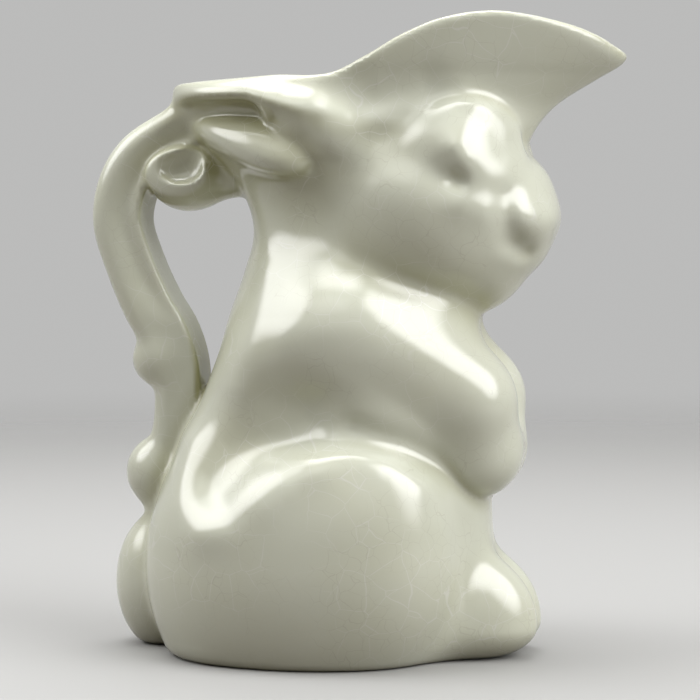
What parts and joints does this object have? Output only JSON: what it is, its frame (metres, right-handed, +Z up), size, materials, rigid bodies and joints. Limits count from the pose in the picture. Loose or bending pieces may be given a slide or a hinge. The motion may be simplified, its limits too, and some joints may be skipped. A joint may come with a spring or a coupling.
{
  "type": "rabbit pitcher",
  "caption": "Glazed earthenware pitcher in the form of a sitting rabbit, with a spout rising from its head, laid-back ears and a scroll handle behind; holds and pours liquid.",
  "frame": {"origin": "on the ground plane under the flat base, in the mirror plane, below the middle of the overall length", "axes": "+Z up, +X the way the rabbit looks and the spout pours, +Y to the rabbit's left"},
  "size_m": [0.16, 0.094, 0.186],
  "materials": {
    "celadon_glaze": "glossy, finely crazed pale celadon glaze"
  },
  "bodies": {
    "root": {"body_shell": "celadon_glaze", "handle": "celadon_glaze", "tail": "celadon_glaze", "right_ear": "celadon_glaze", "left_ear": "celadon_glaze", "right_foreleg": "celadon_glaze", "left_foreleg": "celadon_glaze", "right_hind_foot": "celadon_glaze", "left_hind_foot": "celadon_glaze"}
  },
  "joints": []
}
